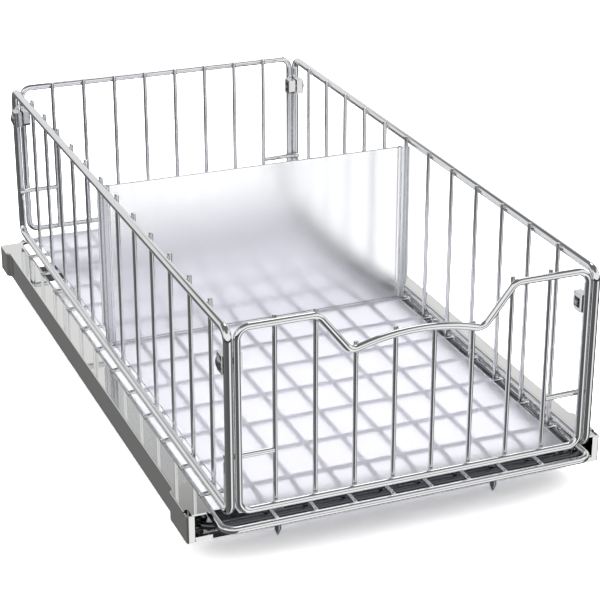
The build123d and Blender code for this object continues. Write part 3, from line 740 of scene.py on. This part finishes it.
# %% The room around the object
world = bpy.data.worlds.new("studio")
scene.world = world
world.use_nodes = True
tree = world.node_tree
tree.nodes.clear()
around = add(tree, "ShaderNodeTexCoord").outputs["Generated"]
split = add(tree, "ShaderNodeSeparateXYZ", {"Vector": around}).outputs
toward_front = add(tree, "ShaderNodeMath", {0: split["Y"], 1: -1.0}, operation="MULTIPLY")
bearing = add(
    tree, "ShaderNodeMath", {0: split["X"], 1: toward_front.outputs["Value"]}, operation="ARCTAN2",
)


def greys(value, low, high, stops):
    """A ramp of greys over a value that runs from low to high."""
    share = add(tree, "ShaderNodeMapRange", {"Value": value, "From Min": low, "From Max": high})
    ramp = add(tree, "ShaderNodeValToRGB", {"Fac": share.outputs["Result"]})
    while len(ramp.color_ramp.elements) < len(stops):
        ramp.color_ramp.elements.new(0.5)
    for element, (at, grey) in zip(ramp.color_ramp.elements, stops):
        element.position = (at - low) / (high - low)
        element.color = (grey, grey, grey, 1)
    return ramp.outputs["Color"]


# bearing from straight in front, rising to the right, in degrees, and the grey of the table there
degrees = add(
    tree, "ShaderNodeMath", {0: bearing.outputs["Value"], 1: math.degrees(1)}, operation="MULTIPLY",
)
table = greys(degrees.outputs["Value"], -180, 180, [
    (-180, 0.18), (-120, 0.16), (-60, 0.12), (8, 0.10), (14, 1.0), (50, 1.0), (58, 0.14), (95, 0.08),
    (150, 0.10), (180, 0.18),
])
# sine of the elevation, from straight below to straight above, and the grey of the tent there
front = greys(split["Z"], -1, 1, [
    (-0.16, 0.05), (0.06, 0.05), (0.10, 1.0), (0.72, 1.0), (0.80, 0.20), (1.0, 0.16),
])
back = greys(split["Z"], -1, 1, [
    (-0.10, 0.08), (0.02, 0.85), (0.44, 0.85), (0.52, 0.20), (1.0, 0.16),
])
facing = add(
    tree, "ShaderNodeMapRange",
    {"Value": split["Y"], "From Min": -0.1, "From Max": 0.1}, interpolation_type="SMOOTHSTEP",
)
tent = add(tree, "ShaderNodeMixRGB", {"Fac": facing.outputs["Result"], "Color1": front, "Color2": back})
height = add(tree, "ShaderNodeMapRange", {"Value": split["Z"], "From Min": -0.17, "From Max": -0.12})
room = add(
    tree, "ShaderNodeMixRGB",
    {"Fac": height.outputs["Result"], "Color1": table, "Color2": tent.outputs["Color"]},
)
# soft light on the object, white for the eye and through the plastic, and the room in mirrors
ray = add(tree, "ShaderNodeLightPath").outputs
soft_light = add(tree, "ShaderNodeBackground", {"Color": (1, 1, 1, 1), "Strength": 0.92})
white = add(tree, "ShaderNodeBackground", {"Color": (1, 1, 1, 1), "Strength": 1.0})
mirrored = add(tree, "ShaderNodeBackground", {"Color": room.outputs["Color"], "Strength": 1.0})
seen = add(
    tree, "ShaderNodeMath", {0: ray["Is Camera Ray"], 1: ray["Is Transmission Ray"]},
    operation="MAXIMUM",
)
with_white = add(
    tree, "ShaderNodeMixShader",
    {"Fac": seen.outputs["Value"], 1: soft_light.outputs[0], 2: white.outputs[0]},
)
with_room = add(
    tree, "ShaderNodeMixShader",
    {"Fac": ray["Is Glossy Ray"], 1: with_white.outputs[0], 2: mirrored.outputs[0]},
)
add(tree, "ShaderNodeOutputWorld", {"Surface": with_room.outputs[0]})
print("world", len(tree.nodes), "nodes")

# %% [markdown]
# The floor is white paper that sends back eight tenths of its light. At this plain level it would
# look grey, so the camera is given a paler paper, which turns white and still keeps the object's
# shadow. What is seen through the frosted sheets is a bright plain floor, because the sheets lose
# part of it on the way. Mirrors don't see the floor: they see the room's table.

# %% Floor
floor_z = cad_box[0][2]
floor_half = 4
floor_mesh = bpy.data.meshes.new("floor")
floor_mesh.from_pydata(
    [(x * floor_half, y * floor_half, floor_z) for x, y in ((-1, -1), (1, -1), (1, 1), (-1, 1))],
    [], [(0, 1, 2, 3)],
)
floor = bpy.data.objects.new("floor", floor_mesh)
scene.collection.objects.link(floor)
paper = bpy.data.materials.new("matt_white_sweep")
paper.use_nodes = True
tree = paper.node_tree
tree.nodes.clear()
ray = add(tree, "ShaderNodeLightPath").outputs
shown = add(tree, "ShaderNodeBsdfDiffuse", {"Color": (2.8, 2.8, 2.8, 1)})
through = add(tree, "ShaderNodeEmission", {"Color": (1, 1, 1, 1), "Strength": 1.4})
plain = add(tree, "ShaderNodeBsdfDiffuse", {"Color": (0.8, 0.8, 0.8, 1)})
to_eye = add(
    tree, "ShaderNodeMixShader",
    {"Fac": ray["Is Camera Ray"], 1: plain.outputs[0], 2: shown.outputs[0]},
)
surface = add(
    tree, "ShaderNodeMixShader",
    {"Fac": ray["Is Transmission Ray"], 1: to_eye.outputs[0], 2: through.outputs[0]},
)
add(tree, "ShaderNodeOutputMaterial", {"Surface": surface.outputs[0]})
floor_mesh.materials.append(paper)
floor.visible_glossy = False
print("floor at z", round(floor_z / mm, 1), "mm")

# %% [markdown]
# One weak round lamp, high behind the object on the right, lays a soft shadow toward the front
# left. The camera looks down on the front left corner through a long lens.

# %% Lamp
key = bpy.data.lights.new("key", "AREA")
key.shape, key.size, key.energy = "DISK", 0.9, 5
lamp = bpy.data.objects.new("key", key)
lamp.location = (0.7, 0.9, 1.8)
lamp.rotation_euler = (-lamp.location).to_track_quat("-Z", "Y").to_euler()
scene.collection.objects.link(lamp)
print("lamp", lamp.name, key.energy, "W")

# %% Camera
lens = bpy.data.cameras.new("camera")
lens.lens, lens.sensor_width, lens.clip_start = 111.7, 36.0, 0.01
camera = bpy.data.objects.new("camera", lens)
camera.location = (-0.4718, -1.2362, 0.6248)
target = Vector((0.03921, 0.03218, 0.0292))
camera.rotation_euler = (target - camera.location).to_track_quat("-Z", "Y").to_euler()
scene.collection.objects.link(camera)
scene.camera = camera
scene.view_settings.view_transform = "Standard"
print("camera", tuple(round(v, 3) for v in camera.location))

# %% The end
bpy.context.view_layer.update()
